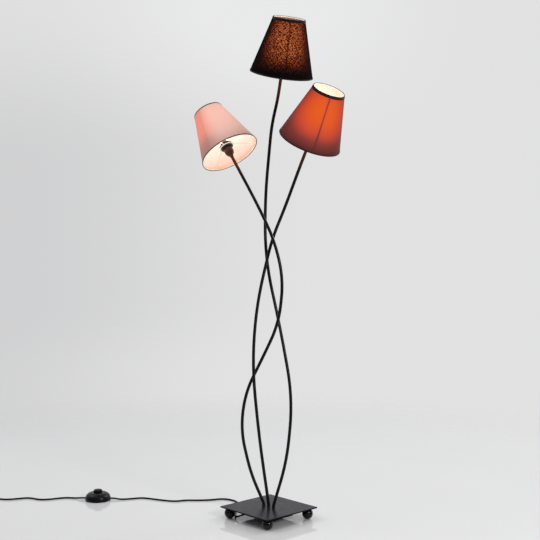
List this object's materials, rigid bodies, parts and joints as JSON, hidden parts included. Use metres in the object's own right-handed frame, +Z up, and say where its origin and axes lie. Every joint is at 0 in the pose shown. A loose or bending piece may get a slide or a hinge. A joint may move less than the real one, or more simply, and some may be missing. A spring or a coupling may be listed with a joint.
{
  "type": "tree floor lamp",
  "caption": "Floor lamp with crossing bent stems on a square footed plate, tapered fabric shades over candle bulbs, and a foot switch on its cord.",
  "frame": {"origin": "on the floor, under the middle of the square base plate", "axes": "+Z up, +X to the right and +Y away from someone who faces a corner of the base; the cord lies on the left"},
  "size_m": [1.2762, 0.4514, 1.5874],
  "materials": {
    "plate_paint": "satin charcoal paint",
    "stem_paint": "satin black paint",
    "foot_gloss": "gloss black paint",
    "box_paint": "satin black paint",
    "zinc_steel": "zinc plated",
    "grub_steel": "blackened",
    "spring_steel": "bare spring wire",
    "contact_brass": "plain",
    "terminal_plastic": "moulded",
    "black_plastic": "moulded, matt",
    "switch_plastic": "moulded, half gloss",
    "cord_sheath": "smooth sheath",
    "wire_sheath": "smooth sheath",
    "plug_plastic": "moulded",
    "plug_nickel": "nickel plated",
    "bulb_nickel": "nickel plated",
    "holder_metal": "dark brown-black paint",
    "holder_plastic": "moulded",
    "shade_frame_white": "white coated wire",
    "shade_black": "coarse linen weave on a stiff lining",
    "shade_burgundy": "fine weave on a stiff lining",
    "shade_rose": "fine weave on a stiff lining",
    "bulb_glass": "clear",
    "bulb_filament": "glowing"
  },
  "bodies": {
    "lamp": {"base_plate": "plate_paint", "foot_front": "foot_gloss", "foot_right": "foot_gloss", "foot_back": "foot_gloss", "foot_left": "foot_gloss", "plate_studs": "zinc_steel", "stem_nuts": "zinc_steel", "switch_screws": "zinc_steel", "wiring_box": "box_paint", "box_nuts": "box_paint", "terminal_block": "terminal_plastic", "cord_gland": "black_plastic", "switch_base": "black_plastic", "coil_tie": "black_plastic", "switch_housing": "switch_plastic", "cord_lamp": "cord_sheath", "cord_wall": "cord_sheath", "cord_coil": "cord_sheath", "plug_body": "plug_plastic", "plug_pins": "plug_nickel", "switch_spring": "spring_steel", "switch_contacts": "contact_brass", "holder_grub_screws": "grub_steel", "stem_high": "stem_paint", "wire_high": "wire_sheath", "holder_cap_high": "holder_metal", "holder_body_high": "holder_plastic", "clamp_rings_high": "holder_plastic", "holder_contacts_high": "contact_brass", "bulb_base_high": "bulb_nickel", "bulb_glass_high": "bulb_glass", "bulb_filament_high": "bulb_filament", "stem_right": "stem_paint", "wire_right": "wire_sheath", "holder_cap_right": "holder_metal", "holder_body_right": "holder_plastic", "clamp_rings_right": "holder_plastic", "holder_contacts_right": "contact_brass", "bulb_base_right": "bulb_nickel", "bulb_glass_right": "bulb_glass", "bulb_filament_right": "bulb_filament", "stem_left": "stem_paint", "wire_left": "wire_sheath", "holder_cap_left": "holder_metal", "holder_body_left": "holder_plastic", "clamp_rings_left": "holder_plastic", "holder_contacts_left": "contact_brass", "bulb_base_left": "bulb_nickel", "bulb_glass_left": "bulb_glass", "bulb_filament_left": "bulb_filament"},
    "shade_high": {"shade_panel_high": "shade_black", "shade_frame_high": "shade_frame_white", "shade_top_ring_high": "shade_frame_white"},
    "shade_right": {"shade_panel_right": "shade_burgundy", "shade_frame_right": "shade_frame_white", "shade_top_ring_right": "shade_frame_white"},
    "shade_left": {"shade_panel_left": "shade_rose", "shade_frame_left": "shade_frame_white", "shade_top_ring_left": "shade_frame_white"},
    "foot_button": {"switch_button": "black_plastic"}
  },
  "joints": [
    {"name": "shade_high_turn", "type": "hinge", "parent": "lamp", "child": "shade_high", "pos_m": [0.041, -0.048, 1.408], "axis": [0.1463, -0.3, 0.9426], "continuous": true},
    {"name": "shade_right_turn", "type": "hinge", "parent": "lamp", "child": "shade_right", "pos_m": [0.129, -0.083, 1.197], "axis": [0.3341, -0.417, 0.8453], "continuous": true},
    {"name": "shade_left_turn", "type": "hinge", "parent": "lamp", "child": "shade_left", "pos_m": [-0.132, 0.127, 1.18], "axis": [-0.4495, 0.3399, 0.8261], "continuous": true},
    {"name": "foot_button_press", "type": "slide", "parent": "lamp", "child": "foot_button", "axis": [0, 0, -1], "range_m": [0, 0.0035], "stiffness_N_per_m": 2000, "springref_m": -0.002, "deforming": ["switch_spring"]}
  ]
}
